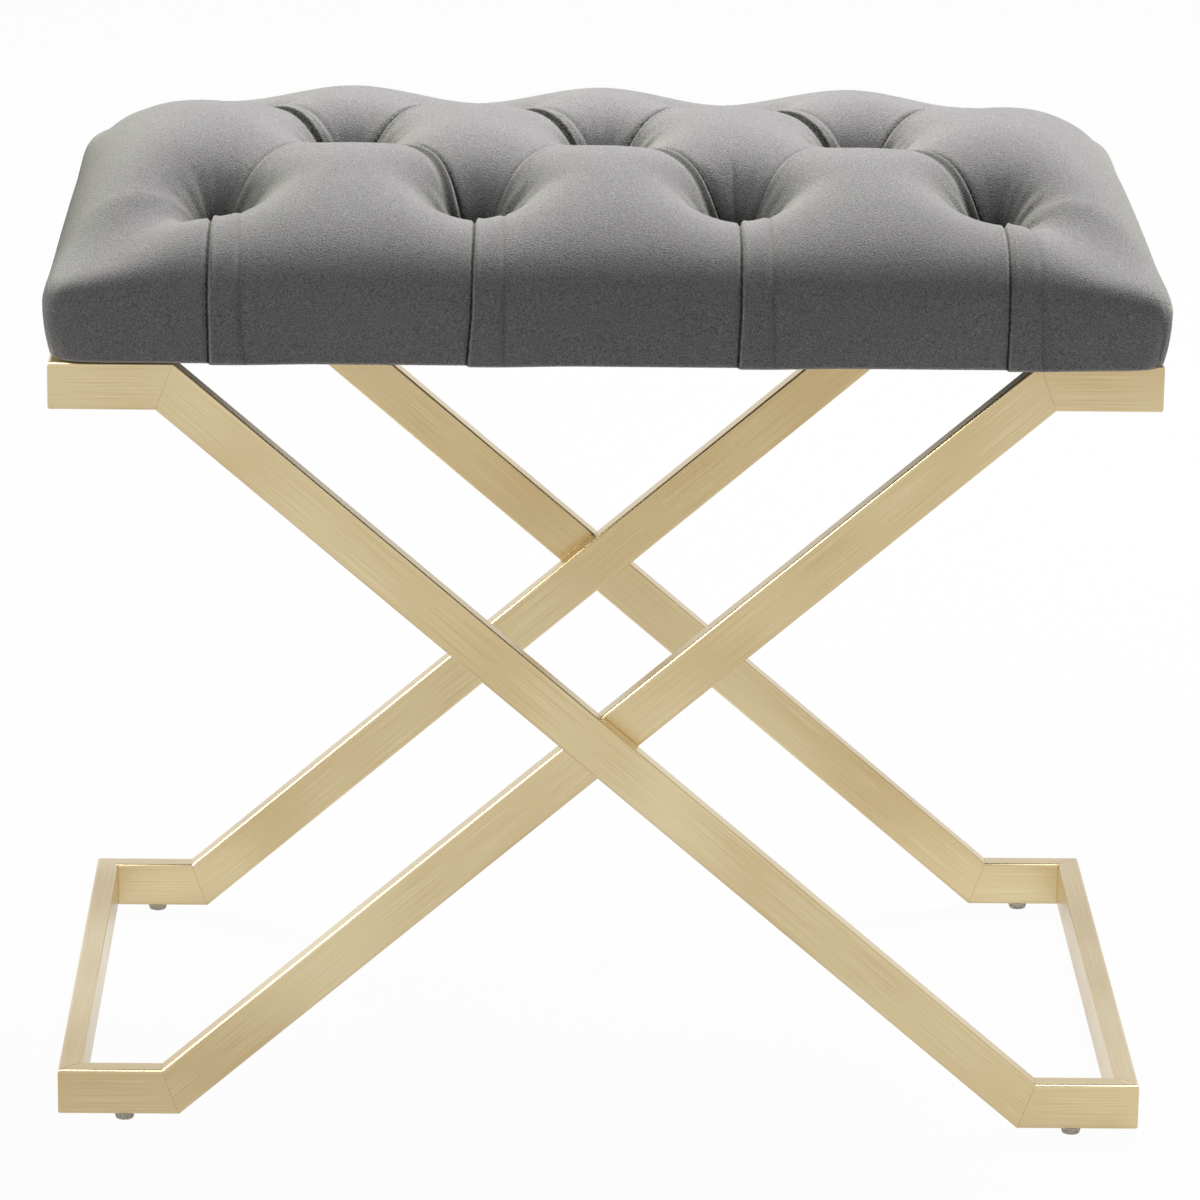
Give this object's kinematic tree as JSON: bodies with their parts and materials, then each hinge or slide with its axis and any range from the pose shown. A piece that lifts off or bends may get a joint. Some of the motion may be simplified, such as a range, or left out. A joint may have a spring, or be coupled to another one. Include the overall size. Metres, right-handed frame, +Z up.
{
  "type": "upholstered bench",
  "caption": "Low bench with a deep-tufted velvet seat on a crossed base of mitred, brushed gold rectangular tube.",
  "frame": {"origin": "on the floor under the middle of the bench, at the underside of the glides", "axes": "+X along the seat's long side, +Y from front to rear across the seat, +Z up"},
  "size_m": [0.606, 0.402, 0.5332],
  "materials": {
    "gold_steel": "champagne gold plating, brushed along each tube",
    "velvet": "short-pile grey velvet",
    "foam": "upholstery foam",
    "plywood": "bare plywood",
    "lining": "black non-woven lining",
    "zinc_steel": "zinc plated",
    "glide_plastic": "translucent grey plastic"
  },
  "bodies": {
    "root": {"outer_front_top_stub": "gold_steel", "outer_front_leg": "gold_steel", "outer_front_foot_stub": "gold_steel", "outer_foot_rail": "gold_steel", "outer_rear_foot_stub": "gold_steel", "outer_rear_leg": "gold_steel", "outer_rear_top_stub": "gold_steel", "outer_top_rail": "gold_steel", "outer_front_glide": "glide_plastic", "outer_front_plate": "gold_steel", "outer_front_screw": "zinc_steel", "outer_front_nut": "zinc_steel", "outer_rear_glide": "glide_plastic", "outer_rear_plate": "gold_steel", "outer_rear_screw": "zinc_steel", "outer_rear_nut": "zinc_steel", "inner_front_top_stub": "gold_steel", "inner_front_leg": "gold_steel", "inner_front_foot_stub": "gold_steel", "inner_foot_rail": "gold_steel", "inner_rear_foot_stub": "gold_steel", "inner_rear_leg": "gold_steel", "inner_rear_top_stub": "gold_steel", "inner_top_rail": "gold_steel", "inner_front_glide": "glide_plastic", "inner_front_plate": "gold_steel", "inner_front_screw": "zinc_steel", "inner_front_nut": "zinc_steel", "inner_rear_glide": "glide_plastic", "inner_rear_plate": "gold_steel", "inner_rear_screw": "zinc_steel", "inner_rear_nut": "zinc_steel", "velvet_cover": "velvet", "foam_core": "foam", "seat_board": "plywood", "dust_cover": "lining", "tuft_button_01": "velvet", "tuft_button_02": "velvet", "tuft_button_03": "velvet", "tuft_button_04": "velvet", "tuft_button_05": "velvet", "tuft_button_06": "velvet", "tuft_button_07": "velvet", "tuft_button_08": "velvet", "tuft_button_09": "velvet", "tuft_button_10": "velvet", "tuft_button_11": "velvet"}
  },
  "joints": []
}
